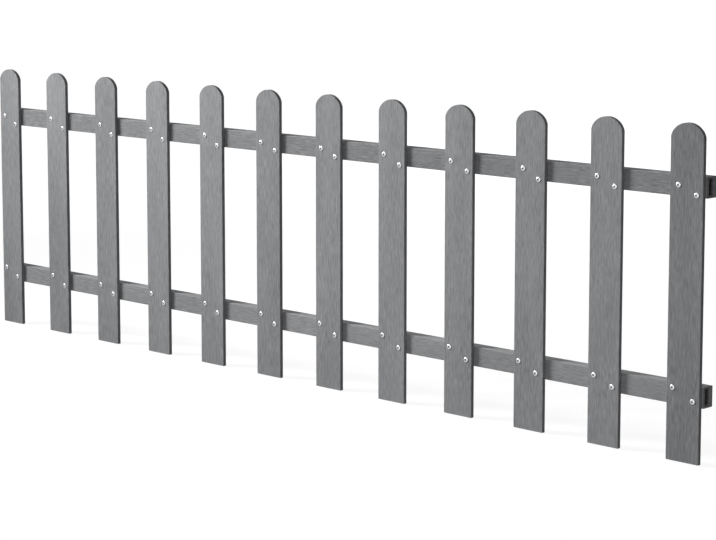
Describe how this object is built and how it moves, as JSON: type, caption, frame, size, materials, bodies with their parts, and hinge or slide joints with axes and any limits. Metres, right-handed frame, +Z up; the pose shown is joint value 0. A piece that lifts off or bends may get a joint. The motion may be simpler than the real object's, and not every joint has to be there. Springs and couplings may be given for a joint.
{
  "type": "picket fence panel",
  "caption": "Straight picket fence panel of wood-plastic composite: flat round-topped pickets screwed to the front of two hollow rails, hung on posts by the rails.",
  "frame": {"origin": "middle of the lower rail's back face, where that rail lies against a post", "axes": "+X along the rails to the right as seen from the front, +Y from the front of the panel to its back, +Z up"},
  "size_m": [2, 0.036, 0.6],
  "materials": {
    "picket_composite": "grey wood-plastic composite, brushed along the picket",
    "rail_composite": "grey wood-plastic composite, brushed along the rail",
    "screw_steel": "bright zinc-plated screw heads"
  },
  "bodies": {
    "root": {"picket_01": "picket_composite", "picket_02": "picket_composite", "picket_03": "picket_composite", "picket_04": "picket_composite", "picket_05": "picket_composite", "picket_06": "picket_composite", "picket_07": "picket_composite", "picket_08": "picket_composite", "picket_09": "picket_composite", "picket_10": "picket_composite", "picket_11": "picket_composite", "picket_12": "picket_composite", "lower_rail": "rail_composite", "upper_rail": "rail_composite"}
  },
  "joints": []
}
